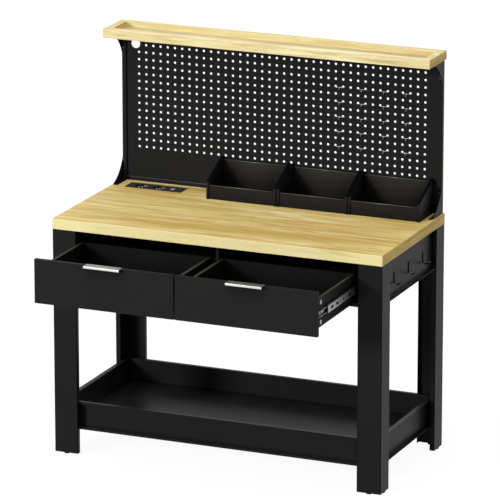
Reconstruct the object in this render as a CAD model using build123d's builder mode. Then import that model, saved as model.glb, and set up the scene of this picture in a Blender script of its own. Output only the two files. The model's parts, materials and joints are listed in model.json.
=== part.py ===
from build123d import *
import os

# A steel-framed workbench with two drawers, a lower tray, a pegboard back wall with a shelf, three bins,
# a power unit set in the worktop, and hooks. Sizes are in millimetres: X to the right, Y to the rear, Z up.
# The drawers stand open, and the origin lies on the floor in the middle of the open bench's outline.

# Bench outline and worktop
BENCH_W = 1120.0
BENCH_D = 543.0
TOP_Z = 776.5
TOP_T = 34.0
WOOD_EDGE_R = 1.5

# Folded sheet steel, with the bend radius on the sheet's drawn face
SHEET_T = 1.5
BEND_R = 2.5

# Legs and their glides
LEG_W = 81.0
LEG_D = 71.0
LEG_LIP = 16.0
GLIDE_L = 13.5
GLIDE_T = 6.0
GLIDE_H = 3.0

# Aprons under the worktop
APRON_H = 131.5
APRON_FOOT = 14.0
APRON_HEAD = 20.0

# Drawer bay: the pan under it, the panels and the divider that carry the slides
BAY_GAP = 2.5
PAN_DROP = 14.5
PANEL_GAP = 2.0
PANEL_FLANGE = 16.5
PANEL_REAR = 10.0
DIVIDER_T = 10.0

# Drawers, pulled out as far as they stand open
DRAWER_PULL = 316.5
FRONT_T = 15.0
FRONT_H = 141.5
FRONT_REVEAL = 7.5
FRONT_MID_GAP = 2.0
FRONT_END_GAP = 6.0
FRONT_EDGE_R = 1.0
BOX_L = 320.0
BOX_H = 92.0
BOX_T = 10.0
BOX_GAP = 1.5
BOTTOM_T = 5.0
BOTTOM_RISE = 6.0
GROOVE_D = 4.0
GROOVE_GAP = 0.1
CAM_D = 15.0
CAM_T = 1.8
CAM_SEAT = 1.5
CAM_GAP = 0.1
CAM_INSET = 34.0
CAM_RISE = 31.5

# Edge pulls on the drawer fronts
HANDLE_L = 120.0
HANDLE_T = 1.5
HANDLE_REACH = 18.0
HANDLE_LAP = 12.0
HANDLE_LIP_H = 6.5
HANDLE_TONGUE_H = 8.0
HANDLE_EDGE_R = 1.0

# Three-part drawer slides; depths are measured from the cabinet's face towards the drawer
SLIDE_L = 310.0
SLIDE_T = 12.0
SLIDE_H = 27.0
SLIDE_RISE = 47.5
SLIDE_SHEET = 1.2
SLIDE_GAP = 0.4
CABINET_LIP = 8.5
MIDDLE_DEPTH = 1.9
MIDDLE_LIP = 9.2
MIDDLE_LIP_T = 2.4
MIDDLE_PULL = 250.0
MIDDLE_HOLES = (33.0, 75.0, 175.0, 225.0)
MIDDLE_HOLE_L = 20.0
MIDDLE_HOLE_W = 9.0
MIDDLE_SLOT = 125.0
MIDDLE_SLOT_L = 12.0
MIDDLE_SLOT_W = 5.0
RUNNER_LIP = 4.5
RUNNER_SETBACK = 2.0
RUNNER_HOLE = 27.0
SLIDE_HOLE_D = 6.0

# Lower tray
TRAY_Z = 81.0
TRAY_H = 92.0
TRAY_FLANGE = 15.5
TRAY_TOP_LIP = 8.0
TRAY_LOW_LIP = 9.5
TRAY_FLOOR_RISE = 18.0
CORNER_PLATE_T = 2.0
CORNER_PLATE_GAP = 1.0

# Uprights, pegboard and its base rail
UPRIGHT_W = 14.5
UPRIGHT_D = 18.5
UPRIGHT_INSET = 5.5
PEG_H = 501.5
PEG_T = 1.2
PEG_SETBACK = 5.0
PEG_PITCH_X = 25.4
PEG_PITCH_Z = 24.19
PEG_HOLE_D = 8.0
PEG_SIDE_MARGIN = 44.0
PEG_TOP_MARGIN = 46.7
PEG_LOW_MARGIN = 112.0
CABLE_HOLE_D = 30.5
CABLE_INSET = 33.5
CABLE_DROP = 44.0
BASE_RAIL_H = 11.0

# Gussets between the uprights, the worktop and the shelf, with the screws that hold them
GUSSET_L = 75.0
GUSSET_H = 75.0
GUSSET_NOSE = 3.0
GUSSET_SAG = 11.5
GUSSET_FOOT = 15.0
SCREW_D = 7.0
SCREW_H = 2.2
SCREW_EDGE_R = 1.2
SCREW_LOW = (36.0, 67.0)
SCREW_TOP = (28.0, 59.0)

# Shelf
SHELF_D = 151.0
SHELF_H = 29.0
SHELF_RIM = 25.0
SHELF_FLOOR_T = 12.0

# Wire hooks in the pegboard: pairs of columns counted from the right, rows counted from the top
PEG_HOOK_WIRE = 2.5
PEG_HOOK_STEM = 3.0
PEG_HOOK_BEND = 2.5
PEG_HOOK_TAIL = 6.0
PEG_HOOK_DROP = 5.5
PEG_HOOK_REACH = 5.0
PEG_HOOK_GAP = 0.2
PEG_HOOK_PAIRS = 4
PEG_HOOK_END = 4
PEG_HOOK_STEP = 3
PEG_HOOK_ROWS = 5
PEG_HOOK_FIRST_ROW = 3
PEG_HOOK_ROW_STEP = 2

# Flat J hooks on the side aprons
SIDE_HOOK_W = 10.0
SIDE_HOOK_T = 2.5
SIDE_HOOK_H = 39.1
SIDE_HOOK_REACH = 23.2
SIDE_HOOK_DROP = 57.5
SIDE_HOOK_PITCH = 124.5
SIDE_HOOK_COUNT = 3

# Power unit flush with the worktop
POWER_L = 201.0
POWER_W = 63.0
POWER_H = 24.0
POWER_INSET = 48.5
POWER_REAR = 39.5
POWER_GAP = 0.2
SOCKET_D = 42.0
SOCKET_T = 3.0
SOCKET_RECESS = 1.5
SOCKET_INSETS = (49.0, 112.0)
CONTACT_D = 6.0
CONTACT_T = 0.8
CONTACT_PLACES = ((-5.0, -9.5), (5.5, -8.5))
CLIP_PLACE = (10.5, 7.5)
CLIP_L = 11.0
CLIP_W = 4.0
CLIP_ANGLE = 35.0
USB_L = 20.0
USB_W = 13.0
USB_T = 5.0
USB_INSET = 158.0
USB_SLOT_L = 9.0
USB_SLOT_W = 2.6
USB_SLOT_D = 2.0
USB_SLOT_PITCH = 8.0

# Storage bins
BIN_COUNT = 3
BIN_W = 244.0
BIN_D = 123.0
BIN_INSET = 33.0
BIN_GAP = 0.5
BIN_LIFT = 0.2
BIN_REAR_GAP = 3.0
BIN_T = 3.0
BIN_SIDE_T = 10.0
BIN_POST_H = 57.0
BIN_REAR_H = 112.5
BIN_BACK_H = 102.5
BIN_FRONT_H = 45.0
BIN_FRONT_SET = 4.0
BIN_EDGE_R = 4.0

# Places that several pieces share
HALF_W = BENCH_W / 2
BACK = (BENCH_D + DRAWER_PULL + HANDLE_REACH) / 2
FRONT = BACK - BENCH_D
MID_Y = BACK - BENCH_D / 2
TOP_UNDER = TOP_Z - TOP_T
LEG_X = HALF_W - LEG_W
APRON_X = HALF_W - LEG_LIP
APRON_FRONT = FRONT + LEG_LIP
APRON_BACK = BACK - LEG_LIP
APRON_Z = TOP_UNDER - APRON_H
BAY_X = APRON_X - SHEET_T
BAY_FRONT = FRONT + FRONT_T + BAY_GAP
BAY_BACK = APRON_BACK - SHEET_T
PAN_TOP = APRON_Z + SHEET_T
PANEL_X = LEG_X - PANEL_GAP
DIVIDER_X = DIVIDER_T / 2
SLIDE_Z = PAN_TOP + SLIDE_RISE
SLIDE_BACK = BAY_FRONT + SLIDE_L
FACE_Y = FRONT - DRAWER_PULL
FRONT_TOP = TOP_UNDER - FRONT_REVEAL
FRONT_X = (FRONT_MID_GAP, LEG_X - FRONT_END_GAP)
BOX_FRONT = FACE_Y + FRONT_T
BOX_BACK = BOX_FRONT + BOX_L
BOX_Z = PAN_TOP + BOX_GAP
BOX_TOP = BOX_Z + BOX_H
BOTTOM_Z = BOX_Z + BOTTOM_RISE
SIDE_IN = DIVIDER_X + SLIDE_T
SIDE_OUT = PANEL_X - SLIDE_T
TRAY_TOP = TRAY_Z + TRAY_H
TRAY_X = APRON_X - TRAY_FLANGE
TRAY_FRONT = APRON_FRONT + TRAY_FLANGE
TRAY_BACK = APRON_BACK - TRAY_FLANGE
TRAY_FLOOR_Z = TRAY_Z + TRAY_FLOOR_RISE
UP_X = HALF_W - UPRIGHT_INSET
UP_Y = BACK - UPRIGHT_D
UP_INNER_X = UP_X - UPRIGHT_W
PEG_Y = UP_Y + PEG_SETBACK
SHELF_Z = TOP_Z + PEG_H
SHELF_TOP = SHELF_Z + SHELF_H
SHELF_FRONT = BACK - SHELF_D
SHELF_PIT_X = HALF_W - SHELF_RIM
POWER_X = -HALF_W + POWER_INSET
POWER_BACK = BACK - POWER_REAR
POWER_FRONT = POWER_BACK - POWER_W
POWER_Y = POWER_BACK - POWER_W / 2
SOCKET_Z = TOP_Z - SOCKET_RECESS
BIN_BACK = PEG_Y - BIN_REAR_GAP
BIN_FRONT = BIN_BACK - BIN_D
BIN_Z = TOP_Z + BIN_LIFT
MID_PLANE = Plane(origin=(0, MID_Y, 0), x_dir=(1, 0, 0), z_dir=(0, 1, 0))


def save(name, piece):
    """Labels a finished piece and writes it under its name."""
    piece.label = name
    export_step(piece, f"parts/{name}.step")


def mirrored(piece, plane):
    """The piece's mirror image in a plane."""
    with BuildPart() as image:
        mirror(piece, about=plane)
    return image.part


def save_pair(name, right):
    """Writes a right-hand piece and its left-hand mirror image."""
    save(f"{name}_right", right)
    save(f"{name}_left", mirrored(right, Plane.YZ))


def slab(x, y, z, mode=Mode.ADD):
    """Adds a block between two positions on each axis to the part being built, or cuts it away."""
    with Locations((sum(x) / 2, sum(y) / 2, sum(z) / 2)):
        Box(abs(x[1] - x[0]), abs(y[1] - y[0]), abs(z[1] - z[0]), mode=mode)


def folded_sheet(points, plane, length):
    """A bent sheet: the points follow one face of its profile, and the metal lies to their left."""
    with BuildPart() as sheet:
        with BuildSketch(plane):
            with BuildLine():
                FilletPolyline(*points, radius=BEND_R)
                offset(amount=SHEET_T, side=Side.LEFT)
            make_face()
        extrude(amount=length)
    return sheet.part


def along_x(x):
    """The plane at x whose axes are Y and Z, facing +X."""
    return Plane.YZ.offset(x)


def along_y(y):
    """The plane at y whose axes are X and Z, facing -Y."""
    return Plane.XZ.offset(-y)


def make_worktop():
    """The wooden board, with the power unit's pocket."""
    with BuildPart() as worktop:
        slab((-HALF_W, HALF_W), (FRONT, BACK), (TOP_UNDER, TOP_Z))
        fillet(worktop.faces().sort_by(Axis.Z)[-1].edges(), WOOD_EDGE_R)
        slab(
            (POWER_X - POWER_GAP, POWER_X + POWER_L + POWER_GAP),
            (POWER_FRONT - POWER_GAP, POWER_BACK + POWER_GAP),
            (TOP_Z - POWER_H, TOP_Z),
            mode=Mode.SUBTRACT,
        )
    save("worktop", worktop.part)


def make_legs():
    """Four corner angles with return lips, and the glides under their flanges."""
    profile = [
        (LEG_X, APRON_FRONT),
        (LEG_X, FRONT),
        (HALF_W, FRONT),
        (HALF_W, FRONT + LEG_D),
        (APRON_X, FRONT + LEG_D),
    ]
    front_leg = folded_sheet(profile, Plane.XY.offset(GLIDE_H), TOP_UNDER - GLIDE_H)
    save_pair("leg_front", front_leg)
    save_pair("leg_rear", mirrored(front_leg, MID_PLANE))

    flange_x = HALF_W - LEG_W / 2
    flange_y = FRONT + LEG_D / 2
    with BuildPart() as glide_feet:
        slab((flange_x - GLIDE_L / 2, flange_x + GLIDE_L / 2), (FRONT, FRONT + GLIDE_T), (0, GLIDE_H))
        slab((HALF_W - GLIDE_T, HALF_W), (flange_y - GLIDE_L / 2, flange_y + GLIDE_L / 2), (0, GLIDE_H))
        mirror(about=MID_PLANE)
        mirror(about=Plane.YZ)
    save("glide_feet", glide_feet.part)


def make_aprons():
    """Sheets between the legs, with an outward foot and, on the sides, a head under the worktop."""
    foot_z = (APRON_Z, PAN_TOP + BEND_R)
    side_profile = [
        (BAY_X - APRON_HEAD, TOP_UNDER - SHEET_T),
        (BAY_X, TOP_UNDER - SHEET_T),
        (BAY_X, APRON_Z),
        (APRON_X + APRON_FOOT, APRON_Z),
    ]
    with BuildPart() as side_apron:
        add(folded_sheet(side_profile, along_y(APRON_BACK), APRON_BACK - APRON_FRONT))
        for foot_end in ((APRON_FRONT, FRONT + LEG_D), (BACK - LEG_D, APRON_BACK)):
            slab((APRON_X, APRON_X + APRON_FOOT), foot_end, foot_z, mode=Mode.SUBTRACT)
    save_pair("apron", side_apron.part)

    rear_top = TOP_UNDER - SHEET_T - BEND_R
    rear_profile = [(BAY_BACK, rear_top), (BAY_BACK, APRON_Z), (APRON_BACK + APRON_FOOT, APRON_Z)]
    with BuildPart() as rear_apron:
        add(folded_sheet(rear_profile, along_x(-BAY_X), 2 * BAY_X))
        for foot_end in ((-BAY_X, -LEG_X), (LEG_X, BAY_X)):
            slab(foot_end, (APRON_BACK, APRON_BACK + APRON_FOOT), foot_z, mode=Mode.SUBTRACT)
    save("apron_rear", rear_apron.part)


def make_drawer_bay():
    """The pan, the slide panels and the divider between worktop and pan."""
    pan_profile = [(BAY_BACK, PAN_TOP), (BAY_FRONT, PAN_TOP), (BAY_FRONT, PAN_TOP - PAN_DROP)]
    save("drawer_pan", folded_sheet(pan_profile, along_x(-BAY_X), 2 * BAY_X))

    panel_back = SLIDE_BACK + PANEL_REAR
    panel_profile = [(PANEL_X + PANEL_FLANGE, TOP_UNDER), (PANEL_X, TOP_UNDER), (PANEL_X, PAN_TOP)]
    save_pair("slide_panel", folded_sheet(panel_profile, along_y(panel_back), panel_back - BAY_FRONT))

    with BuildPart() as divider:
        slab((-DIVIDER_X, DIVIDER_X), (BAY_FRONT, panel_back), (PAN_TOP, TOP_UNDER))
    save("divider", divider.part)


def channel(face_x, toward, web, lip_end, height, lip_t, front):
    """Adds a slide member: a web between two depths from the cabinet's face, and a lip on each edge."""
    web_x = (face_x + toward * web[0], face_x + toward * web[1])
    lip_x = (web_x[0], face_x + toward * lip_end)
    length = (front, front + SLIDE_L)
    slab(web_x, length, (SLIDE_Z - height / 2, SLIDE_Z + height / 2))
    for side in (-1, 1):
        edge = SLIDE_Z + side * height / 2
        slab(lip_x, length, (edge - side * lip_t, edge))


def make_slides():
    """Cabinet members on panels and divider, middle members, and runners on the right drawer's sides."""
    faces = ((PANEL_X, -1), (DIVIDER_X, 1))
    with BuildPart() as cabinet_members:
        for face_x, toward in faces:
            channel(face_x, toward, (0, SLIDE_SHEET), CABINET_LIP, SLIDE_H, SLIDE_SHEET, BAY_FRONT)
        mirror(about=Plane.YZ)
    save("slide_cabinet_members", cabinet_members.part)

    middle_h = SLIDE_H - 2 * SLIDE_SHEET - 2 * SLIDE_GAP
    middle_front = BAY_FRONT - MIDDLE_PULL
    middle_web = (MIDDLE_DEPTH, MIDDLE_DEPTH + SLIDE_SHEET)
    with BuildPart() as middle_members:
        for face_x, toward in faces:
            channel(face_x, toward, middle_web, MIDDLE_LIP, middle_h, MIDDLE_LIP_T, middle_front)
            web_x = face_x + toward * sum(middle_web) / 2
            with BuildSketch(Plane.YZ.offset(web_x - SLIDE_SHEET)):
                with Locations(*[(middle_front + along, SLIDE_Z) for along in MIDDLE_HOLES]):
                    SlotOverall(MIDDLE_HOLE_L, MIDDLE_HOLE_W)
            extrude(amount=2 * SLIDE_SHEET, mode=Mode.SUBTRACT)
            with Locations((web_x, middle_front + MIDDLE_SLOT, SLIDE_Z)):
                Box(2 * SLIDE_SHEET, MIDDLE_SLOT_L, MIDDLE_SLOT_W, mode=Mode.SUBTRACT)
    save_pair("slide_middle", middle_members.part)

    runner_h = middle_h - 2 * MIDDLE_LIP_T - 2 * SLIDE_GAP
    runner_front = BOX_FRONT + RUNNER_SETBACK
    runner_web = (SLIDE_T, SLIDE_T - SLIDE_SHEET)
    with BuildPart() as runners:
        for face_x, toward in faces:
            channel(face_x, toward, runner_web, RUNNER_LIP, runner_h, SLIDE_SHEET, runner_front)
            web_x = face_x + toward * sum(runner_web) / 2
            with Locations((web_x, runner_front + RUNNER_HOLE, SLIDE_Z)):
                Cylinder(SLIDE_HOLE_D / 2, 2 * SLIDE_SHEET, rotation=(0, 90, 0), mode=Mode.SUBTRACT)
    save_pair("drawer_runners", runners.part)


def make_drawer_box():
    """The wooden box of the right drawer and its mirror image: front, sides, back and bottom."""
    with BuildPart() as front:
        slab(FRONT_X, (FACE_Y, BOX_FRONT), (FRONT_TOP - FRONT_H, FRONT_TOP))
        fillet(front.faces().sort_by(Axis.Y)[0].edges(), FRONT_EDGE_R)
        handle_tongue(GROOVE_GAP, mode=Mode.SUBTRACT)
    save_pair("drawer_front", front.part)

    groove_z = (BOTTOM_Z - GROOVE_GAP, BOTTOM_Z + BOTTOM_T + GROOVE_GAP)
    for name, face_x, inward in (("drawer_side_outer", SIDE_OUT, -1), ("drawer_side_inner", SIDE_IN, 1)):
        inner_x = face_x + inward * BOX_T
        with BuildPart() as side:
            slab((face_x, inner_x), (BOX_FRONT, BOX_BACK), (BOX_Z, BOX_TOP))
            groove_x = (inner_x, inner_x - inward * GROOVE_D)
            slab(groove_x, (BOX_FRONT, BOX_BACK), groove_z, mode=Mode.SUBTRACT)
            with Locations(*cam_places(face_x + inward * CAM_SEAT / 2)):
                Cylinder(CAM_D / 2 + CAM_GAP, CAM_SEAT, rotation=(0, 90, 0), mode=Mode.SUBTRACT)
        save_pair(name, side.part)

    inside_x = (SIDE_IN + BOX_T, SIDE_OUT - BOX_T)
    with BuildPart() as back:
        slab(inside_x, (BOX_BACK - BOX_T, BOX_BACK), (BOTTOM_Z + BOTTOM_T, BOX_TOP))
    save_pair("drawer_back", back.part)

    bottom_x = (inside_x[0] - GROOVE_D, inside_x[1] + GROOVE_D)
    with BuildPart() as bottom:
        slab(bottom_x, (BOX_FRONT, BOX_BACK), (BOTTOM_Z, BOTTOM_Z + BOTTOM_T))
    save_pair("drawer_bottom", bottom.part)


def handle_span(gap=0.0):
    """The edge pull's length along x on the right drawer, with a gap at each end."""
    middle = sum(FRONT_X) / 2
    half = HANDLE_L / 2 + gap
    return (middle - half, middle + half)


def handle_tongue(gap=0.0, mode=Mode.ADD):
    """The edge pull's tongue in the top edge of the drawer front, with a gap all round."""
    back = FACE_Y + HANDLE_LAP
    depth = (back - HANDLE_T - gap, back + gap)
    slab(handle_span(gap), depth, (FRONT_TOP - HANDLE_TONGUE_H - gap, FRONT_TOP), mode=mode)


def cam_places(x):
    """Centres of the two cam discs on a drawer side, at the given x."""
    return [(x, BOX_FRONT + CAM_INSET, SLIDE_Z + rise) for rise in (-CAM_RISE, CAM_RISE)]


def make_drawer_fittings():
    """The cam discs and the edge pull of the right drawer, and their mirror images."""
    with BuildPart() as cams:
        for face_x, inward in ((SIDE_OUT, -1), (SIDE_IN, 1)):
            with Locations(*cam_places(face_x + inward * (CAM_SEAT - CAM_T / 2))):
                Cylinder(CAM_D / 2, CAM_T, rotation=(0, 90, 0))
    save_pair("drawer_cams", cams.part)

    length = handle_span()
    reach = FACE_Y - HANDLE_REACH
    top = FRONT_TOP + HANDLE_T
    with BuildPart() as handle:
        slab(length, (reach, FACE_Y + HANDLE_LAP), (FRONT_TOP, top))
        slab(length, (reach, reach + HANDLE_T), (top - HANDLE_LIP_H, FRONT_TOP))
        handle_tongue()
        fillet(handle.edges().filter_by(Axis.X).group_by(Axis.Y)[0].sort_by(Axis.Z)[-1], HANDLE_EDGE_R)
    save_pair("drawer_handle", handle.part)


def make_tray():
    """The lower tray: channel rails that open outwards, a floor, and plates inside the legs."""
    side_profile = [(APRON_X, TRAY_TOP), (TRAY_X, TRAY_TOP), (TRAY_X, TRAY_Z), (APRON_X, TRAY_Z)]
    save_pair("tray_rail", folded_sheet(side_profile, along_y(APRON_BACK), APRON_BACK - APRON_FRONT))

    front_profile = [
        (APRON_FRONT, TRAY_Z + TRAY_LOW_LIP),
        (APRON_FRONT, TRAY_Z),
        (TRAY_FRONT, TRAY_Z),
        (TRAY_FRONT, TRAY_TOP),
        (APRON_FRONT, TRAY_TOP),
        (APRON_FRONT, TRAY_TOP - TRAY_TOP_LIP),
    ]
    front_rail = folded_sheet(front_profile, along_x(-TRAY_X), 2 * TRAY_X)
    save("tray_rail_front", front_rail)
    save("tray_rail_rear", mirrored(front_rail, MID_PLANE))

    with BuildPart() as tray_floor:
        slab((-TRAY_X, TRAY_X), (TRAY_FRONT, TRAY_BACK), (TRAY_FLOOR_Z - SHEET_T, TRAY_FLOOR_Z))
    save("tray_floor", tray_floor.part)

    with BuildPart() as tray_corner_plates:
        slab(
            (LEG_X + SHEET_T, HALF_W - SHEET_T - CORNER_PLATE_GAP),
            (FRONT + SHEET_T + CORNER_PLATE_GAP, FRONT + LEG_D - SHEET_T),
            (TRAY_Z - CORNER_PLATE_T, TRAY_Z),
        )
        mirror(about=MID_PLANE)
        mirror(about=Plane.YZ)
    save("tray_corner_plates", tray_corner_plates.part)


def peg_grid():
    """Hole centres across and up the pegboard: as many columns and rows as its margins leave room for."""
    columns = int(2 * (UP_INNER_X - PEG_SIDE_MARGIN) / PEG_PITCH_X) + 1
    rows = int((PEG_H - PEG_TOP_MARGIN - PEG_LOW_MARGIN) / PEG_PITCH_Z) + 1
    across = [(column - (columns - 1) / 2) * PEG_PITCH_X for column in range(columns)]
    down = [SHELF_Z - PEG_TOP_MARGIN - row * PEG_PITCH_Z for row in range(rows)]
    return across, down


def make_back_wall():
    """Uprights, the holed sheet between them, and the rail along its foot."""
    upright_profile = [(UP_INNER_X, UP_Y), (UP_X, UP_Y), (UP_X, BACK), (UP_INNER_X, BACK)]
    save_pair("upright", folded_sheet(upright_profile, Plane.XY.offset(TOP_Z), PEG_H))

    across, down = peg_grid()
    cable_hole = Vector(CABLE_INSET - UP_INNER_X, SHELF_Z - CABLE_DROP)
    keep_away = (CABLE_HOLE_D + PEG_HOLE_D) / 2
    centres = [Vector(x, z) for x in across for z in down]
    holes = [centre for centre in centres if (centre - cable_hole).length > keep_away]
    half_panel = UP_X - SHEET_T
    with BuildPart() as pegboard:
        with BuildSketch(along_y(PEG_Y)):
            with Locations((0, TOP_Z + PEG_H / 2)):
                Rectangle(2 * half_panel, PEG_H)
            with Locations(*holes):
                Circle(PEG_HOLE_D / 2, mode=Mode.SUBTRACT)
            with Locations(cable_hole):
                Circle(CABLE_HOLE_D / 2, mode=Mode.SUBTRACT)
        extrude(amount=-PEG_T)
    save("pegboard", pegboard.part)

    with BuildPart() as base_rail:
        slab((-UP_INNER_X, UP_INNER_X), (PEG_Y - SHEET_T, PEG_Y), (TOP_Z, TOP_Z + BASE_RAIL_H))
    save("pegboard_base_rail", base_rail.part)


def gusset(seat_z, up):
    """A curved side plate with a foot on its seat and a flange against the upright."""
    nose_y = UP_Y - GUSSET_L
    end_z = seat_z + up * GUSSET_H
    with BuildPart() as bracket:
        with BuildSketch(along_x(UP_X - SHEET_T)):
            with BuildLine():
                nose = (nose_y, seat_z + up * GUSSET_NOSE)
                Polyline((UP_Y, end_z), (UP_Y, seat_z), (nose_y, seat_z), nose)
                SagittaArc(nose, (UP_Y, end_z), -up * GUSSET_SAG)
            make_face()
        extrude(amount=SHEET_T)
        slab((UP_X - GUSSET_FOOT, UP_X), (nose_y, UP_Y), (seat_z, seat_z + up * SHEET_T))
        slab((UP_INNER_X, UP_X), (UP_Y - SHEET_T, UP_Y), (seat_z, end_z))
    return bracket.part


def make_gussets():
    """Brackets from the uprights to the worktop and to the shelf, and their screws."""
    save_pair("gusset_lower", gusset(TOP_Z, 1))
    save_pair("gusset_upper", gusset(SHELF_Z, -1))

    screw_x = UP_X - UPRIGHT_W / 2
    screw_z = [TOP_Z + rise for rise in SCREW_LOW] + [SHELF_Z - drop for drop in SCREW_TOP]
    with BuildPart() as screw:
        Cylinder(SCREW_D / 2, SCREW_H, align=(Align.CENTER, Align.CENTER, Align.MIN))
        fillet(screw.edges().sort_by(Axis.Z)[-1], SCREW_EDGE_R)
    seats = [
        Plane(origin=(x, UP_Y - SHEET_T, z), z_dir=(0, -1, 0))
        for x in (-screw_x, screw_x)
        for z in screw_z
    ]
    with BuildPart() as screws:
        with Locations(*seats):
            add(screw.part)
    save("upright_screws", screws.part)


def make_shelf():
    """A wooden tray: a floor inside front, rear and end rims."""
    pit_front = SHELF_FRONT + SHELF_RIM
    pit_back = BACK - SHELF_RIM
    height = (SHELF_Z, SHELF_TOP)
    with BuildPart() as shelf_floor:
        slab((-SHELF_PIT_X, SHELF_PIT_X), (pit_front, pit_back), (SHELF_Z, SHELF_Z + SHELF_FLOOR_T))
    save("shelf_floor", shelf_floor.part)

    long_rims = {"shelf_rim_front": (SHELF_FRONT, pit_front), "shelf_rim_rear": (pit_back, BACK)}
    for name, depth in long_rims.items():
        with BuildPart() as long_rim:
            slab((-HALF_W, HALF_W), depth, height)
            fillet(long_rim.faces().sort_by(Axis.Z)[-1].edges().filter_by(Axis.X), WOOD_EDGE_R)
        save(name, long_rim.part)

    with BuildPart() as end_rims:
        slab((SHELF_PIT_X, HALF_W), (pit_front, pit_back), height)
        fillet(end_rims.faces().sort_by(Axis.Z)[-1].edges().filter_by(Axis.Y), WOOD_EDGE_R)
        mirror(about=Plane.YZ)
    save("shelf_rim_ends", end_rims.part)


def make_peg_hooks():
    """Wire hooks that rest in pairs of pegboard holes: a crossbar with two tails and a bent stem."""
    wire_r = PEG_HOOK_WIRE / 2
    bar_y = PEG_Y - PEG_HOOK_GAP - max(PEG_HOOK_WIRE, PEG_HOOK_STEM) / 2
    tail_y = PEG_Y + PEG_T + PEG_HOOK_TAIL
    half = PEG_PITCH_X / 2
    with BuildPart() as hook:
        with BuildLine() as bar:
            FilletPolyline(
                (-half, tail_y, 0),
                (-half, bar_y, 0),
                (half, bar_y, 0),
                (half, tail_y, 0),
                radius=PEG_HOOK_BEND,
            )
        with BuildSketch(Plane(origin=bar.line @ 0, z_dir=bar.line % 0)):
            Circle(wire_r)
        sweep()
        with BuildLine() as stem:
            FilletPolyline(
                (0, bar_y, 0),
                (0, bar_y, -PEG_HOOK_DROP),
                (0, bar_y - PEG_HOOK_REACH, -PEG_HOOK_DROP),
                radius=PEG_HOOK_BEND,
            )
        with BuildSketch(Plane(origin=stem.line @ 0, z_dir=stem.line % 0)):
            Circle(PEG_HOOK_STEM / 2)
        sweep()

    across, down = peg_grid()
    columns = [len(across) - PEG_HOOK_END - PEG_HOOK_STEP * pair for pair in range(PEG_HOOK_PAIRS)]
    rows = down[PEG_HOOK_FIRST_ROW :: PEG_HOOK_ROW_STEP][:PEG_HOOK_ROWS]
    rest = PEG_HOLE_D / 2 - wire_r - PEG_HOOK_GAP
    with BuildPart() as peg_hooks:
        with Locations(*[(across[column] + half, 0, z - rest) for column in columns for z in rows]):
            add(hook.part)
    save("pegboard_hooks", peg_hooks.part)


def make_side_hooks():
    """Flat J hooks in a row on each side apron."""
    bend_r = SIDE_HOOK_REACH / 2
    top = TOP_UNDER - SIDE_HOOK_DROP
    bend_z = top - SIDE_HOOK_H + bend_r
    first_y = MID_Y - SIDE_HOOK_PITCH * (SIDE_HOOK_COUNT - 1) / 2
    with BuildPart() as side_hooks:
        for index in range(SIDE_HOOK_COUNT):
            with BuildSketch(along_y(first_y + index * SIDE_HOOK_PITCH)):
                with BuildLine():
                    Line((APRON_X, top), (APRON_X, bend_z))
                    CenterArc((APRON_X + bend_r, bend_z), bend_r, 180, 180)
                    offset(amount=SIDE_HOOK_T, side=Side.LEFT)
                make_face()
            extrude(amount=SIDE_HOOK_W / 2, both=True)
        mirror(about=Plane.YZ)
    save("side_hooks", side_hooks.part)


def make_power_unit():
    """A housing let into the worktop, with two socket faces, their contacts and a USB port."""
    socket_places = [(POWER_X + inset, POWER_Y) for inset in SOCKET_INSETS]
    usb_place = (POWER_X + USB_INSET, POWER_Y)
    with BuildPart() as housing:
        slab((POWER_X, POWER_X + POWER_L), (POWER_FRONT, POWER_BACK), (TOP_Z - POWER_H, TOP_Z))
        with BuildSketch(Plane.XY.offset(TOP_Z)):
            with Locations(*socket_places):
                Circle(SOCKET_D / 2)
        extrude(amount=-SOCKET_RECESS - SOCKET_T, mode=Mode.SUBTRACT)
        with BuildSketch(Plane.XY.offset(TOP_Z)):
            with Locations(usb_place):
                Rectangle(USB_W, USB_L)
        extrude(amount=-USB_T, mode=Mode.SUBTRACT)
    save("power_housing", housing.part)

    with BuildPart() as sockets:
        with BuildSketch(Plane.XY.offset(SOCKET_Z)):
            with Locations(*socket_places):
                Circle(SOCKET_D / 2)
        extrude(amount=-SOCKET_T)
    save("power_sockets", sockets.part)

    with BuildPart() as contacts:
        with BuildSketch(Plane.XY.offset(SOCKET_Z)):
            with Locations(*socket_places):
                with Locations(*CONTACT_PLACES):
                    Circle(CONTACT_D / 2)
                with Locations(CLIP_PLACE):
                    Rectangle(CLIP_L, CLIP_W, rotation=CLIP_ANGLE)
        extrude(amount=CONTACT_T)
    save("power_contacts", contacts.part)

    with BuildPart() as usb_port:
        with BuildSketch(Plane.XY.offset(TOP_Z)):
            with Locations(usb_place):
                Rectangle(USB_W, USB_L)
        extrude(amount=-USB_T)
        with BuildSketch(Plane.XY.offset(TOP_Z)):
            with Locations(usb_place):
                with GridLocations(0, USB_SLOT_PITCH, 1, 2):
                    Rectangle(USB_SLOT_L, USB_SLOT_W)
        extrude(amount=-USB_SLOT_D, mode=Mode.SUBTRACT)
    save("usb_port", usb_port.part)


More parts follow.
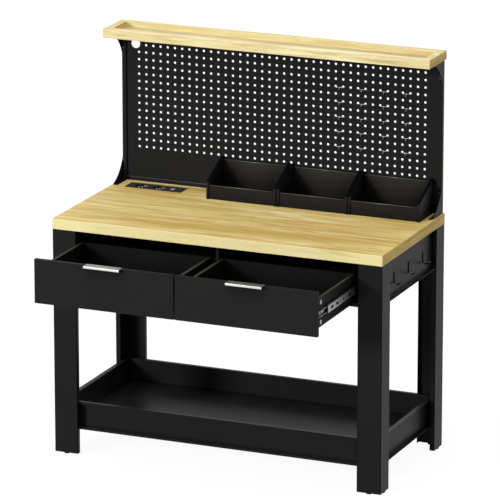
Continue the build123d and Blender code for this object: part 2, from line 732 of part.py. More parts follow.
def storage_bin(x):
    """A moulded bin whose thick sides slope up from rounded front posts to its back."""
    inside_x = (x + BIN_SIDE_T, x + BIN_W - BIN_SIDE_T)
    front_y = BIN_FRONT + BIN_FRONT_SET
    with BuildPart() as tub:
        for wall_x in (x, inside_x[1]):
            with BuildSketch(along_x(wall_x)):
                with BuildLine():
                    Polyline(
                        (BIN_BACK, BIN_Z),
                        (BIN_FRONT, BIN_Z),
                        (BIN_FRONT, BIN_Z + BIN_POST_H),
                        (BIN_BACK, BIN_Z + BIN_REAR_H),
                        close=True,
                    )
                make_face()
            extrude(amount=BIN_SIDE_T)
        fillet(tub.edges().filter_by(Axis.Z).group_by(Axis.Y)[0], BIN_EDGE_R)
        slab(inside_x, (front_y, BIN_BACK), (BIN_Z, BIN_Z + BIN_T))
        slab(inside_x, (front_y, front_y + BIN_T), (BIN_Z, BIN_Z + BIN_FRONT_H))
        slab(inside_x, (BIN_BACK - BIN_T, BIN_BACK), (BIN_Z, BIN_Z + BIN_BACK_H))
    return tub.part


def make_bins():
    """A row of bins that ends near the worktop's right-hand side."""
    names = ("right", "middle", "left")
    for index in range(BIN_COUNT):
        x = HALF_W - BIN_INSET - BIN_W - index * (BIN_W + BIN_GAP)
        save(f"bin_{names[index]}", storage_bin(x))


os.makedirs("parts", exist_ok=True)
make_worktop()
make_legs()
make_aprons()
make_drawer_bay()
make_slides()
make_drawer_box()
make_drawer_fittings()
make_tray()
make_back_wall()
make_gussets()
make_shelf()
make_peg_hooks()
make_side_hooks()
make_power_unit()
make_bins()
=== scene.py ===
import json
import math

import bmesh
import bpy
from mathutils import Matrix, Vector


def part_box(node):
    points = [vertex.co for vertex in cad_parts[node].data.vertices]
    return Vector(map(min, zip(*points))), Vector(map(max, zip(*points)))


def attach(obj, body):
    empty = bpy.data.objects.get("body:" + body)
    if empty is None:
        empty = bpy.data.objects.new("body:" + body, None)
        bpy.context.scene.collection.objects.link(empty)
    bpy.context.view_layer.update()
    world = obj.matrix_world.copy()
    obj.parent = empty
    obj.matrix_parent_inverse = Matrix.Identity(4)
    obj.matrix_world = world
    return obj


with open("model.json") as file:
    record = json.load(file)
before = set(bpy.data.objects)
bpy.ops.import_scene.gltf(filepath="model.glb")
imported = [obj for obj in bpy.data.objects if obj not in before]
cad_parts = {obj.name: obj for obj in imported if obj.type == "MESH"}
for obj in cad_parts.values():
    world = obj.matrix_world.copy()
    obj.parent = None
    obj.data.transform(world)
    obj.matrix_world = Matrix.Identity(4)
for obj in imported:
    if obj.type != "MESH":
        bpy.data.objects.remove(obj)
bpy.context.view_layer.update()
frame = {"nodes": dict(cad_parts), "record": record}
nodes = frame["nodes"]
scene = bpy.context.scene

# The photograph's viewpoint: angles in degrees, places in metres, lens and sensor in millimetres
CAMERA_AZIMUTH = 22.959
CAMERA_ELEVATION = 15.805
CAMERA_DISTANCE = 14.3387
CAMERA_AIM = (0.00206, 0.17125, 0.6626)
CAMERA_LENS = 325.2
CAMERA_SENSOR = 36.0
CAMERA_REACH = 200.0

# Linear colours of the finishes
WHITE = (1.0, 1.0, 1.0)
BLACK_PAINT = (0.0103, 0.0103, 0.0103)
BLACK_BOARD = (0.0102, 0.0102, 0.0102)
BLACK_PLASTIC = (0.0225, 0.021, 0.019)
# Near-black for painted shade on bends, in corners and insides, and in the slides' screw holes
PAINTED_SHADE_BLACK = (0.001, 0.001, 0.001)
# Lighter grey for the painted highlights on the bead along each bin and rail top
BEAD_HIGHLIGHT_GREY = (0.035, 0.035, 0.035)
# The sockets' own black plastic, darkened further as painted shade of deep recesses
SOCKET_BLACK_AND_SHADE = (0.002, 0.002, 0.002)
HOUSING_GREY = (0.024, 0.024, 0.025)
RAW_EDGE = (0.05, 0.044, 0.033)
ZINC = (0.5, 0.5, 0.5)
SATIN_ALUMINIUM = (0.72, 0.715, 0.7)
SHADED_ALUMINIUM = (0.27, 0.265, 0.25)
SCREW_GREY = (0.06, 0.06, 0.06)
HOOK_CHROME = (0.32, 0.32, 0.325)
# Near-white for the socket contacts, whose white marks are partly the metal's colour and partly painted
# glints
CONTACT_METAL = (0.85, 0.85, 0.84)
PORT_GREY = (0.3, 0.3, 0.31)

# Wood tones from pale to dark, and tints for the fronts, the ends and the shelf's recess; the worktop's
# front tint is painted light, lighter and paler than the top
OAK = [(0.8, 0.665, 0.345), (0.7, 0.545, 0.22), (0.52, 0.36, 0.1), (0.34, 0.195, 0.04)]
ASH = [(0.79, 0.71, 0.43), (0.7, 0.605, 0.325), (0.56, 0.445, 0.19), (0.41, 0.3, 0.11)]
OAK_FRONT_LIGHT_TINT = (1.12, 1.25, 1.55)
OAK_END_TINT = (1.12, 1.04, 0.78)
ASH_END_TINT = (1.2, 1.0, 0.62)
RECESS_TINT = (0.87, 0.895, 1.08)

# Layers of wood grain: waves per metre along and across the board, then the noise's settings
WOOD_BANDS = {"length": 1.3, "across": 16.0, "shift": (0.6, 0.35, 0.2), "distortion": 0.8}
WOOD_STREAKS = {
    "length": 4.2, "across": 64.0, "detail": 4.0, "roughness": 0.65,
    "shift": (3.1, 1.7, 0.4), "distortion": 0.5,
}
WOOD_LINES = {
    "length": 4.6, "across": 72.0, "detail": 5.0, "roughness": 0.7,
    "shift": (7.7, 0.3, 2.9), "distortion": 0.6,
}
WOOD_FIBRES = {"length": 9.0, "across": 110.0, "shift": (1.3, 5.1, 3.7)}
WOOD_HEIGHT_SCALE = 1.3
ALONG_X = 0
ALONG_Y = 1

# Where each layer of grain sets in, and how strongly it shows
BAND_STOPS = (0.36, 0.47, 0.54, 0.64)
STREAK_LIMITS = (0.48, 0.62)
STREAK_SHARE = 0.95
LINE_LIMITS = (0.55, 0.68)
LINE_SHARE = 0.75
FIBRE_LIMITS = (0.45, 0.75)
FIBRE_SHARE = 0.6

# Between which slopes of the surface a finish changes, or painted light or shade sets in
WOOD_LIT_FRONT_LIMITS = (-0.8, -0.6)
WOOD_SIDE_LIMITS = (0.6, 0.8)
BOARD_TOP_LIMITS = (0.9, 0.95)
METAL_TOP_SHADE_LIMITS = (0.6, 0.9)
FOLD_SHADE_LIMITS = (0.12, 0.3)

# How far the painted shade of corners, joints and insides reaches, in metres, and how deeply
SHEET_SHADE_REACH = (0.007, 1.8)
BOARD_SHADE_REACH = (0.22, 2.0)
BIN_SHADE_REACH = (0.1, 2.2)
SLIDE_SHADE_REACH = (0.25, 1.6)
SHADE_SAMPLES = 8

# Waves per metre of the finishes' patterns along each axis, and the detail of the noise
PAINT_CLOUDS = (7.0, 7.0, 7.0)
PAINT_PEEL = (1400.0, 1400.0, 1400.0)
WOOD_PORES = (18.0, 900.0, 900.0)
BOARD_GRAIN = (30.0, 30.0, 500.0)
BOARD_FIBRES = (160.0, 160.0, 160.0)
PLASTIC_TEXTURE = (800.0, 800.0, 800.0)
PLASTIC_CLOUDS = (12.0, 12.0, 12.0)
METAL_CLOUDS = (25.0, 25.0, 25.0)
ZINC_STREAKS = (900.0, 12.0, 900.0)
PULL_STREAKS = (10.0, 900.0, 900.0)
PLATING_STREAKS = (300.0, 300.0, 300.0)
LOW_DETAIL = 2.0
MIDDLE_DETAIL = 3.0
HIGH_DETAIL = 4.0

# Strength of each bump, and its height in metres
WOOD_BUMP = (0.12, 0.0006)
PAINT_BUMP = (0.1, 0.0004)
BOARD_BUMP = (0.08, 0.0004)
PLASTIC_BUMP = (0.15, 0.0003)
METAL_BUMP = (0.05, 0.0002)

# How much lighter or darker the patterns get
PAINT_LIGHTER = 1.35
BOARD_LIGHTER = 1.5
EDGE_DARKER = 0.6
PLASTIC_LIGHTER = 1.3
METAL_DARKER = 0.72

# Roughness and specular level of the black finishes, and how far the roughness swings
PAINT_SHEEN = (0.34, 0.05)
BIN_SHEEN = (0.42, 0.06)
HOUSING_SHEEN = (0.4, 0.12)
SOCKET_SHEEN = (0.3, 0.1)
PORT_SHEEN = (0.45, 0.1)
BEAD_SHEEN = (0.3, 0.5)
DIMPLE_SHEEN = (0.6, 0.05)
PAINT_SWING = 0.05
PLASTIC_SWING = 0.07

# Range of roughness and the specular level of the wood and the black boards
WOOD_ROUGHNESS = (0.42, 0.56)
WOOD_SPECULAR = 0.12
BOARD_ROUGHNESS = (0.45, 0.6)
BOARD_SPECULAR = 0.05

# Roughness of the metals, and how far it falls and rises
ZINC_ROUGHNESS = 0.36
PULL_ROUGHNESS = 0.34
SCREW_ROUGHNESS = 0.35
HOOK_ROUGHNESS = 0.25
CONTACT_ROUGHNESS = 0.3
# The contacts are only slightly metallic so they show as painted glints
CONTACT_GLINT_METALLIC = 0.25
METAL_FALL = 0.08
METAL_RISE = 0.1

# Sizes of the bins, the base rail and the slides, in metres, where small pieces sit on them
BIN_WALL = 0.003
BIN_SIDE = 0.010
BIN_FRONT_SET = 0.004
BIN_FRONT_H = 0.045
BIN_BACK_H = 0.1025
BIN_FRONT_LAP = 0.0015
BIN_BEAD_H = 0.0022
RAIL_BEAD_D = 0.0021
RAIL_BEAD_H = 0.003
BEAD_STEPS = 10
SLIDE_HOLE_R = 0.0045
SLIDE_HOLE_L = 0.020
SLIDE_HOLES = (0.033, 0.075, 0.175, 0.225)
SLIDE_WEB = 0.0012
SLIDE_HOLE_STEPS = 12

# A dimple's depth as a share of the web, and its width inside the rim and at the middle
DIMPLE_DEPTH = 0.45
DIMPLE_LIP = 0.9
DIMPLE_MIDDLE = 0.84

# The studio: light places and sizes in metres, powers in watts
LIGHT_TARGET = (0.0, 0.2, 0.7)
KEY_PLACE = (-8.2, -13.2, 5.5)
KEY_SIZE = 3.2
KEY_POWER = 1960.0
TOP_PLACE = (-0.4, -1.6, 5.4)
TOP_SIZE = 3.6
TOP_POWER = 154.0
REAR_PLACE = (0.4, 9.0, 3.4)
REAR_SIZE = 4.5
REAR_POWER = 420.0
WORLD_LIGHT = 0.38
FLOOR_SIZE = 60.0
FLOOR_GREY = (0.38, 0.38, 0.38)
FLOOR_SHADE = (0.1, 0.1, 0.1)
FLOOR_GLOW = 0.94

# Places of the colour sockets on a mix node
MIX_FACTOR = 0
MIX_FIRST = 6
MIX_SECOND = 7
MIX_RESULT = 2


def add_camera():
    """The camera at the photograph's angle, aimed at the middle of its frame."""
    azimuth = math.radians(CAMERA_AZIMUTH)
    elevation = math.radians(CAMERA_ELEVATION)
    back = Vector((
        math.sin(azimuth) * math.cos(elevation),
        -math.cos(azimuth) * math.cos(elevation),
        math.sin(elevation),
    ))
    data = bpy.data.cameras.new("photo_camera")
    data.lens = CAMERA_LENS
    data.sensor_width = CAMERA_SENSOR
    data.clip_end = CAMERA_REACH
    camera = bpy.data.objects.new("photo_camera", data)
    camera.location = Vector(CAMERA_AIM) + back * CAMERA_DISTANCE
    camera.rotation_euler = back.to_track_quat("Z", "Y").to_euler()
    scene.collection.objects.link(camera)
    scene.camera = camera


def add_area_light(name, place, size, power):
    """A square soft box at a place, turned to the object."""
    data = bpy.data.lights.new(name, "AREA")
    data.shape = "SQUARE"
    data.size = size
    data.energy = power
    light = bpy.data.objects.new(name, data)
    light.location = place
    away = Vector(place) - Vector(LIGHT_TARGET)
    light.rotation_euler = away.to_track_quat("Z", "Y").to_euler()
    scene.collection.objects.link(light)


class Shader:
    """A material's node tree, with short calls for the nodes that the finishes share."""

    def __init__(self, name):
        self.material = bpy.data.materials.new(name)
        self.material.use_nodes = True
        self.tree = self.material.node_tree
        self.bsdf = self.tree.nodes["Principled BSDF"]
        self.coordinates = self.tree.nodes.new("ShaderNodeTexCoord").outputs["Object"]

    def node(self, kind, **settings):
        """A new node with its settings."""
        made = self.tree.nodes.new(kind)
        for key, value in settings.items():
            setattr(made, key, value)
        return made

    def link(self, source, target):
        """Joins two sockets."""
        self.tree.links.new(source, target)

    def feed(self, target, source):
        """Links a socket, or sets a number or a colour on the target."""
        if isinstance(source, bpy.types.NodeSocket):
            self.link(source, target)
        elif isinstance(source, tuple):
            target.default_value = (*source, 1.0)
        else:
            target.default_value = source

    def set(self, name, source):
        """Feeds an input of the surface."""
        self.feed(self.bsdf.inputs[name], source)

    def noise(self, scale, detail=MIDDLE_DETAIL, roughness=0.55, shift=(0.0, 0.0, 0.0), distortion=0.0):
        """Noise whose scale is given along each axis, in waves per metre."""
        mapping = self.node("ShaderNodeMapping")
        mapping.inputs["Scale"].default_value = scale
        mapping.inputs["Location"].default_value = shift
        self.link(self.coordinates, mapping.inputs["Vector"])
        texture = self.node("ShaderNodeTexNoise")
        texture.inputs["Scale"].default_value = 1.0
        texture.inputs["Detail"].default_value = detail
        texture.inputs["Roughness"].default_value = roughness
        texture.inputs["Distortion"].default_value = distortion
        self.link(mapping.outputs["Vector"], texture.inputs["Vector"])
        return texture.outputs["Fac"]

    def ramp(self, value, stops):
        """A colour ramp through (position, colour) stops."""
        made = self.node("ShaderNodeValToRGB")
        elements = made.color_ramp.elements
        while len(elements) < len(stops):
            elements.new(0.5)
        for element, (position, colour) in zip(elements, stops):
            element.position = position
            element.color = (*colour, 1.0)
        self.link(value, made.inputs["Fac"])
        return made.outputs["Color"]

    def span(self, value, low, high, start=0.0, end=1.0):
        """Maps a value from one range to another."""
        made = self.node("ShaderNodeMapRange")
        made.inputs["From Min"].default_value = start
        made.inputs["From Max"].default_value = end
        made.inputs["To Min"].default_value = low
        made.inputs["To Max"].default_value = high
        self.link(value, made.inputs["Value"])
        return made.outputs["Result"]

    def rise(self, value, limits, share=1.0):
        """Rises from nothing to a share as a value passes between two limits."""
        start, end = limits
        return self.span(value, 0.0, share, start, end)

    def mix(self, factor, first, second):
        """Mixes two colours, each a socket or a fixed colour."""
        made = self.node("ShaderNodeMix", data_type="RGBA")
        self.feed(made.inputs[MIX_FACTOR], factor)
        self.feed(made.inputs[MIX_FIRST], first)
        self.feed(made.inputs[MIX_SECOND], second)
        return made.outputs[MIX_RESULT]

    def math(self, operation, first, second=0.0):
        """One sum on numbers or sockets."""
        made = self.node("ShaderNodeMath", operation=operation)
        self.feed(made.inputs[0], first)
        self.feed(made.inputs[1], second)
        return made.outputs[0]

    def bump(self, height, strength, distance):
        """Bumps on the surface after a pattern."""
        made = self.node("ShaderNodeBump")
        made.inputs["Strength"].default_value = strength
        made.inputs["Distance"].default_value = distance
        self.link(height, made.inputs["Height"])
        self.link(made.outputs["Normal"], self.bsdf.inputs["Normal"])

    def sheen(self, pattern, level, swing):
        """A roughness that swings with a pattern, and a specular level."""
        roughness, specular = level
        self.set("Roughness", self.span(pattern, roughness - swing, roughness + swing))
        self.set("Specular IOR Level", specular)

    def normal(self):
        """The surface's direction, as three sockets."""
        split = self.node("ShaderNodeSeparateXYZ")
        self.link(self.node("ShaderNodeNewGeometry").outputs["Normal"], split.inputs[0])
        return split.outputs

    def painted_crevice_shade(self, colour, reach, depth):
        """Paints shade into a colour in corners, joints and insides, within a reach in metres."""
        occlusion = self.node("ShaderNodeAmbientOcclusion", samples=SHADE_SAMPLES)
        occlusion.inputs["Distance"].default_value = reach
        openness = self.math("POWER", occlusion.outputs["AO"], depth)
        return self.mix(openness, PAINTED_SHADE_BLACK, colour)

    def painted_fold_shade(self, colour, first, second):
        """Paints shade into a colour where the surface faces between two axes, as on a bend or a slope.
        """
        normal = self.normal()
        between = self.math("ABSOLUTE", self.math("MULTIPLY", normal[first], normal[second]))
        return self.mix(self.rise(between, FOLD_SHADE_LIMITS), colour, PAINTED_SHADE_BLACK)


def scaled(colour, factor):
    """A colour with every channel scaled alike."""
    return tuple(channel * factor for channel in colour)


def tinted(palette, tint):
    """A palette with each channel scaled by its own part of a tint."""
    return [tuple(channel * scale for channel, scale in zip(tone, tint)) for tone in palette]


def wood_tone(shader, along, palette):
    """Long staves of hardwood: broad bands, thin streaks and fine lines along one axis."""
    pale, light, amber, dark = palette

    def grain(length, across, **settings):
        scale = [across, across, across * WOOD_HEIGHT_SCALE]
        scale[along] = length
        return shader.noise(tuple(scale), **settings)

    tones = (amber, light, light, pale)
    base = shader.ramp(grain(**WOOD_BANDS), list(zip(BAND_STOPS, tones)))
    streaks = shader.rise(grain(**WOOD_STREAKS), STREAK_LIMITS, STREAK_SHARE)
    streaked = shader.mix(streaks, base, amber)
    lines = shader.rise(grain(**WOOD_LINES), LINE_LIMITS, LINE_SHARE)
    lined = shader.mix(lines, streaked, dark)
    fibres = shader.rise(grain(**WOOD_FIBRES), FIBRE_LIMITS, FIBRE_SHARE)
    return shader.mix(fibres, lined, amber)


def wood_material(name, top, front, end):
    """A lacquered board: tones for the top and the front, and for ends whose grain runs in depth; a
    lighter front tone is painted light on the front face.
    """
    shader = Shader(name)
    normal = shader.normal()
    frontal = shader.span(normal["Y"], 1.0, 0.0, *WOOD_LIT_FRONT_LIMITS)
    facing = shader.mix(frontal, wood_tone(shader, ALONG_X, top), wood_tone(shader, ALONG_X, front))
    sideways = shader.rise(shader.math("ABSOLUTE", normal["X"]), WOOD_SIDE_LIMITS)
    shader.set("Base Color", shader.mix(sideways, facing, wood_tone(shader, ALONG_Y, end)))
    pores = shader.noise(WOOD_PORES, LOW_DETAIL)
    shader.set("Roughness", shader.span(pores, *WOOD_ROUGHNESS))
    shader.set("Specular IOR Level", WOOD_SPECULAR)
    shader.bump(pores, *WOOD_BUMP)
    return shader.material


def paint_material(name, colour, sheen):
    """Powder coat: a fine orange-peel surface, a slightly uneven sheen, and painted shade on bends and
    in corners.
    """
    shader = Shader(name)
    clouds = shader.noise(PAINT_CLOUDS)
    coat = shader.mix(clouds, colour, scaled(colour, PAINT_LIGHTER))
    # Painted shade on bends, then in corners and joints
    for first, second in ("XY", "XZ", "YZ"):
        coat = shader.painted_fold_shade(coat, first, second)
    shader.set("Base Color", shader.painted_crevice_shade(coat, *SHEET_SHADE_REACH))
    shader.sheen(clouds, sheen, PAINT_SWING)
    shader.bump(shader.noise(PAINT_PEEL, LOW_DETAIL), *PAINT_BUMP)
    return shader.material


def board_material(name, colour, edge):
    """Black foil on board with a fine grain along its length, raw upper edges, and painted shade in
    corners and insides.
    """
    shader = Shader(name)
    grain = shader.noise(BOARD_GRAIN)
    foil = shader.mix(grain, colour, scaled(colour, BOARD_LIGHTER))
    fibres = shader.noise(BOARD_FIBRES, HIGH_DETAIL)
    raw = shader.mix(fibres, edge, scaled(edge, EDGE_DARKER))
    faced = shader.mix(shader.rise(shader.normal()["Z"], BOARD_TOP_LIMITS), foil, raw)
    # Painted shade inside the drawers and in corners
    shader.set("Base Color", shader.painted_crevice_shade(faced, *BOARD_SHADE_REACH))
    shader.set("Roughness", shader.span(grain, *BOARD_ROUGHNESS))
    shader.set("Specular IOR Level", BOARD_SPECULAR)
    shader.bump(grain, *BOARD_BUMP)
    return shader.material


def plastic_material(name, colour, sheen, shade_slopes=False):
    """Moulded plastic with a fine spark-eroded texture, and where asked painted shade on slopes and in
    corners.
    """
    shader = Shader(name)
    texture = shader.noise(PLASTIC_TEXTURE)
    clouds = shader.noise(PLASTIC_CLOUDS, LOW_DETAIL)
    moulded = shader.mix(clouds, colour, scaled(colour, PLASTIC_LIGHTER))
    if shade_slopes:
        # Painted shade on the sloped edges and inside the bins
        moulded = shader.painted_crevice_shade(shader.painted_fold_shade(moulded, "Y", "Z"), *BIN_SHADE_REACH)
    shader.set("Base Color", moulded)
    shader.sheen(texture, sheen, PLASTIC_SWING)
    shader.bump(texture, *PLASTIC_BUMP)
    return shader.material


def metal_material(name, colour, roughness, streak, metallic=1.0, crevice=None, upper=None):
    """Plated or anodised metal: drawn streaks, soft clouds, and where asked painted shade in insides or
    a darker painted shade on top.
    """
    shader = Shader(name)
    streaks = shader.noise(streak, HIGH_DETAIL)
    plating = shader.mix(shader.noise(METAL_CLOUDS), scaled(colour, METAL_DARKER), colour)
    if crevice:
        plating = shader.painted_crevice_shade(plating, *crevice)
    # A darker tone on upward faces, as painted shade
    if upper:
        plating = shader.mix(shader.rise(shader.normal()["Z"], METAL_TOP_SHADE_LIMITS), plating, upper)
    shader.set("Base Color", plating)
    shader.set("Metallic", metallic)
    shader.set("Roughness", shader.span(streaks, roughness - METAL_FALL, roughness + METAL_RISE))
    shader.bump(streaks, *METAL_BUMP)
    return shader.material


def dress(material, *names):
    """Gives CAD nodes a material."""
    for name in names:
        for slot in nodes[name].material_slots:
            slot.material = material


def dress_by_slot():
    """Every CAD node gets the finish of its material slot."""
    # The slides' zinc is darkened in its insides as painted shade
    zinc = metal_material("zinc_plate", ZINC, ZINC_ROUGHNESS, ZINC_STREAKS, crevice=SLIDE_SHADE_REACH)
    # The pulls' upward faces get a darker tone as painted shade
    aluminium = metal_material(
        "satin_aluminium", SATIN_ALUMINIUM, PULL_ROUGHNESS, PULL_STREAKS, upper=SHADED_ALUMINIUM
    )
    # Contacts in near-white with little metallic, as painted glints
    contact = metal_material(
        "contact_plating", CONTACT_METAL, CONTACT_ROUGHNESS, PLATING_STREAKS, CONTACT_GLINT_METALLIC
    )
    # The worktop's front tones, lighter and paler as painted light
    oak_front_lit = tinted([OAK[0], OAK[1], OAK[1], OAK[2]], OAK_FRONT_LIGHT_TINT)
    by_slot = {
        "oak_board": wood_material("worktop_wood", OAK, oak_front_lit, tinted(OAK, OAK_END_TINT)),
        "black_steel": paint_material("black_powder_coat", BLACK_PAINT, PAINT_SHEEN),
        "black_board": board_material("black_board", BLACK_BOARD, BLACK_BOARD),
        "pull_aluminium": aluminium,
        "zinc_steel": zinc,
        "hook_chrome": metal_material("hook_plating", HOOK_CHROME, HOOK_ROUGHNESS, PLATING_STREAKS),
        "contact_metal": contact,
        # The bins' plastic gets painted shade on slopes and in corners
        "black_plastic": plastic_material("black_plastic", BLACK_PLASTIC, BIN_SHEEN, shade_slopes=True),
        "port_plastic": plastic_material("port_plastic", PORT_GREY, PORT_SHEEN),
    }
    for piece in frame["record"]["subparts"]:
        dress(by_slot[piece["material_slot"]], piece["node"])


def dress_apart():
    """Nodes whose finish differs from the rest of their slot."""
    shelf_wood = wood_material("shelf_wood", ASH, ASH, tinted(ASH, ASH_END_TINT))
    dress(shelf_wood, "shelf_rim_front", "shelf_rim_rear", "shelf_rim_ends")
    recess = tinted(ASH, RECESS_TINT)
    dress(wood_material("shelf_recess_wood", recess, recess, recess), "shelf_floor")
    screw = metal_material("screw_plating", SCREW_GREY, SCREW_ROUGHNESS, PLATING_STREAKS)
    dress(screw, "upright_screws")
    dress(plastic_material("housing_plastic", HOUSING_GREY, HOUSING_SHEEN), "power_housing")
    # Sockets near-black: own black plastic plus painted shade of their recesses
    dress(plastic_material("socket_plastic", SOCKET_BLACK_AND_SHADE, SOCKET_SHEEN), "power_sockets")
    raw_board = board_material("black_board_raw_edge", BLACK_BOARD, RAW_EDGE)
    for side in ("left", "right"):
        dress(raw_board, f"drawer_side_outer_{side}", f"drawer_side_inner_{side}")


def add_piece(name, mesh, body, material):
    """Links a piece made in bmesh, gives it a finish and lets it ride a body."""
    data = bpy.data.meshes.new(name)
    mesh.to_mesh(data)
    mesh.free()
    for face in data.polygons:
        face.use_smooth = True
    data.materials.append(material)
    piece = bpy.data.objects.new(name, data)
    scene.collection.objects.link(piece)
    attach(piece, body)


def half_round(span_x, span_y, foot, height):
    """A bead along X: a half-round profile over a depth, standing on a foot height."""
    middle = sum(span_y) / 2
    half = (span_y[1] - span_y[0]) / 2
    mesh = bmesh.new()
    ends = []
    for x in span_x:
        ring = []
        for step in range(BEAD_STEPS + 1):
            angle = math.pi * step / BEAD_STEPS
            y = middle - half * math.cos(angle)
            z = foot + height * math.sin(angle)
            ring.append(mesh.verts.new((x, y, z)))
        ends.append(ring)
    first, last = ends
    for step in range(BEAD_STEPS):
        mesh.faces.new((first[step], first[step + 1], last[step + 1], last[step]))
    mesh.faces.new((first[0], last[0], last[-1], first[-1]))
    mesh.faces.new(first[::-1])
    mesh.faces.new(last)
    bmesh.ops.recalc_face_normals(mesh, faces=mesh.faces)
    return mesh


def add_rail_bead(material):
    """A rounded hem along the top of the pegboard's base rail, to carry a painted highlight line."""
    low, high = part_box("pegboard_base_rail")
    bead = half_round((low[0], high[0]), (high[1] - RAIL_BEAD_D, high[1]), high[2], RAIL_BEAD_H)
    add_piece("base_rail_bead", bead, "frame", material)


def add_bin_beads(material):
    """A rounded bead along the top of each bin's front and back panel, to carry a painted highlight
    line.
    """
    for place in ("left", "middle", "right"):
        low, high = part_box(f"bin_{place}")
        span_x = (low[0] + BIN_SIDE, high[0] - BIN_SIDE)
        panel = low[1] + BIN_FRONT_SET
        front_y = (panel - BIN_FRONT_LAP, panel + BIN_WALL)
        back_y = (high[1] - BIN_WALL, high[1])
        beads = {"front": (front_y, BIN_FRONT_H), "back": (back_y, BIN_BACK_H)}
        for edge, (span_y, rise) in beads.items():
            bead = half_round(span_x, span_y, low[2] + rise, BIN_BEAD_H)
            add_piece(f"bin_bead_{edge}_{place}", bead, f"bin_{place}", material)


def oblong(centre, along, radius, length):
    """Points of an oblong in the YZ plane through a place along X."""
    straight = length / 2 - radius
    points = []
    for end, turn in ((straight, -math.pi / 2), (-straight, math.pi / 2)):
        for step in range(SLIDE_HOLE_STEPS + 1):
            angle = turn + math.pi * step / SLIDE_HOLE_STEPS
            offset = Vector((along, end + radius * math.cos(angle), radius * math.sin(angle)))
            points.append(centre + offset)
    return points


def dimple(centre, radius, length, depth):
    """An oblong dimple that opens both ways along X, with a closed middle."""
    profile = [
        (-depth, 1.0),
        (-depth, DIMPLE_LIP),
        (0.0, DIMPLE_MIDDLE),
        (depth, DIMPLE_LIP),
        (depth, 1.0),
    ]
    mesh = bmesh.new()
    rings = []
    for along, scale in profile:
        shrink = radius * (1.0 - scale)
        points = oblong(centre, along, radius - shrink, length - 2 * shrink)
        rings.append([mesh.verts.new(point) for point in points])
    count = len(rings[0])
    for ring, following in zip(rings, rings[1:] + rings[:1]):
        for step in range(count):
            after = (step + 1) % count
            mesh.faces.new((ring[step], ring[after], following[after], following[step]))
    mesh.faces.new(rings[len(rings) // 2])
    bmesh.ops.recalc_face_normals(mesh, faces=mesh.faces)
    return mesh


def add_slide_hole_shades(material):
    """Closed screw holes in the webs of the middle slide members, black as painted shade inside the
    holes.
    """
    for side, sign in (("left", -1.0), ("right", 1.0)):
        low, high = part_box(f"slide_middle_{side}")
        outer, inner = (low[0], high[0]) if sign < 0 else (high[0], low[0])
        webs = {"outer": outer - sign * SLIDE_WEB / 2, "inner": inner + sign * SLIDE_WEB / 2}
        for wall, x in webs.items():
            for index, along in enumerate(SLIDE_HOLES):
                centre = Vector((x, low[1] + along, (low[2] + high[2]) / 2))
                hollow = dimple(centre, SLIDE_HOLE_R, SLIDE_HOLE_L, SLIDE_WEB * DIMPLE_DEPTH)
                name = f"slide_dimple_{wall}_{side}_{index}"
                add_piece(name, hollow, f"slide_middle_{side}", material)


def background_ray(tree):
    """One for a ray that shows the background: from the camera, a reflection or glass."""
    path = tree.nodes.new("ShaderNodeLightPath")
    direct = tree.nodes.new("ShaderNodeMath")
    direct.operation = "MAXIMUM"
    tree.links.new(path.outputs["Is Camera Ray"], direct.inputs[0])
    tree.links.new(path.outputs["Is Glossy Ray"], direct.inputs[1])
    either = tree.nodes.new("ShaderNodeMath")
    either.operation = "MAXIMUM"
    tree.links.new(direct.outputs[0], either.inputs[0])
    tree.links.new(path.outputs["Is Transmission Ray"], either.inputs[1])
    return either.outputs[0]


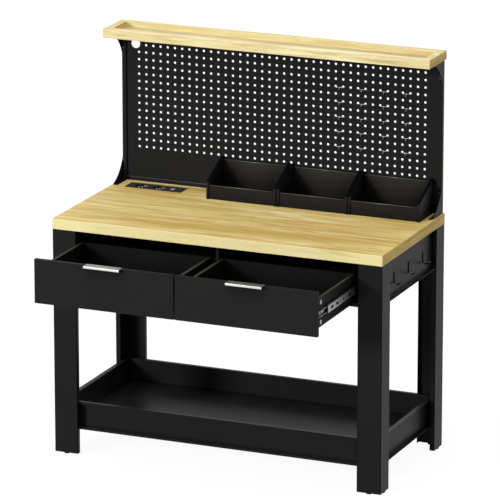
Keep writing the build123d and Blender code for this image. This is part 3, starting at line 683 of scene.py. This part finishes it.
def shown_white(tree, shader):
    """White where the background is seen or reflected; every other ray meets the given shader."""
    glow = tree.nodes.new("ShaderNodeEmission")
    glow.inputs["Strength"].default_value = FLOOR_GLOW
    shade = tree.nodes.new("ShaderNodeBsdfDiffuse")
    shade.inputs["Color"].default_value = (*FLOOR_SHADE, 1.0)
    shown = tree.nodes.new("ShaderNodeAddShader")
    tree.links.new(shade.outputs[0], shown.inputs[0])
    tree.links.new(glow.outputs[0], shown.inputs[1])
    mix = tree.nodes.new("ShaderNodeMixShader")
    tree.links.new(background_ray(tree), mix.inputs[0])
    tree.links.new(shader.outputs[0], mix.inputs[1])
    tree.links.new(shown.outputs[0], mix.inputs[2])
    return mix.outputs[0]


def add_floor():
    """A pale floor that keeps the object's shadow and shows as white."""
    bpy.ops.mesh.primitive_plane_add(size=FLOOR_SIZE, location=(0.0, 0.0, 0.0))
    floor = bpy.context.object
    floor.name = "studio_floor"
    material = bpy.data.materials.new("studio_floor")
    material.use_nodes = True
    tree = material.node_tree
    tree.nodes.clear()
    output = tree.nodes.new("ShaderNodeOutputMaterial")
    plain = tree.nodes.new("ShaderNodeBsdfDiffuse")
    plain.inputs["Color"].default_value = (*FLOOR_GREY, 1.0)
    tree.links.new(shown_white(tree, plain), output.inputs["Surface"])
    floor.data.materials.append(material)


def add_world():
    """A soft grey surrounding that shows as white."""
    world = bpy.data.worlds.new("studio_world")
    world.use_nodes = True
    tree = world.node_tree
    background = tree.nodes["Background"]
    background.inputs["Color"].default_value = (*WHITE, 1.0)
    strength = tree.nodes.new("ShaderNodeMapRange")
    strength.inputs["To Min"].default_value = WORLD_LIGHT
    strength.inputs["To Max"].default_value = 1.0
    tree.links.new(background_ray(tree), strength.inputs["Value"])
    tree.links.new(strength.outputs["Result"], background.inputs["Strength"])
    scene.world = world


def add_lights():
    """A soft box in front on the left, one above and one behind."""
    add_area_light("key_soft_box", KEY_PLACE, KEY_SIZE, KEY_POWER)
    add_area_light("top_soft_box", TOP_PLACE, TOP_SIZE, TOP_POWER)
    add_area_light("rear_soft_box", REAR_PLACE, REAR_SIZE, REAR_POWER)


add_camera()
add_floor()
add_world()
add_lights()
dress_by_slot()
dress_apart()
# The beads are lighter grey as painted highlights on the top edges
add_bin_beads(plastic_material("bead_painted_highlight", BEAD_HIGHLIGHT_GREY, BEAD_SHEEN))
add_rail_bead(plastic_material("hem_painted_highlight", BEAD_HIGHLIGHT_GREY, BEAD_SHEEN))
# Black cups in the screw holes, as painted shade inside them
add_slide_hole_shades(plastic_material("hole_painted_shade", PAINTED_SHADE_BLACK, DIMPLE_SHEEN))
scene.view_settings.view_transform = "Standard"
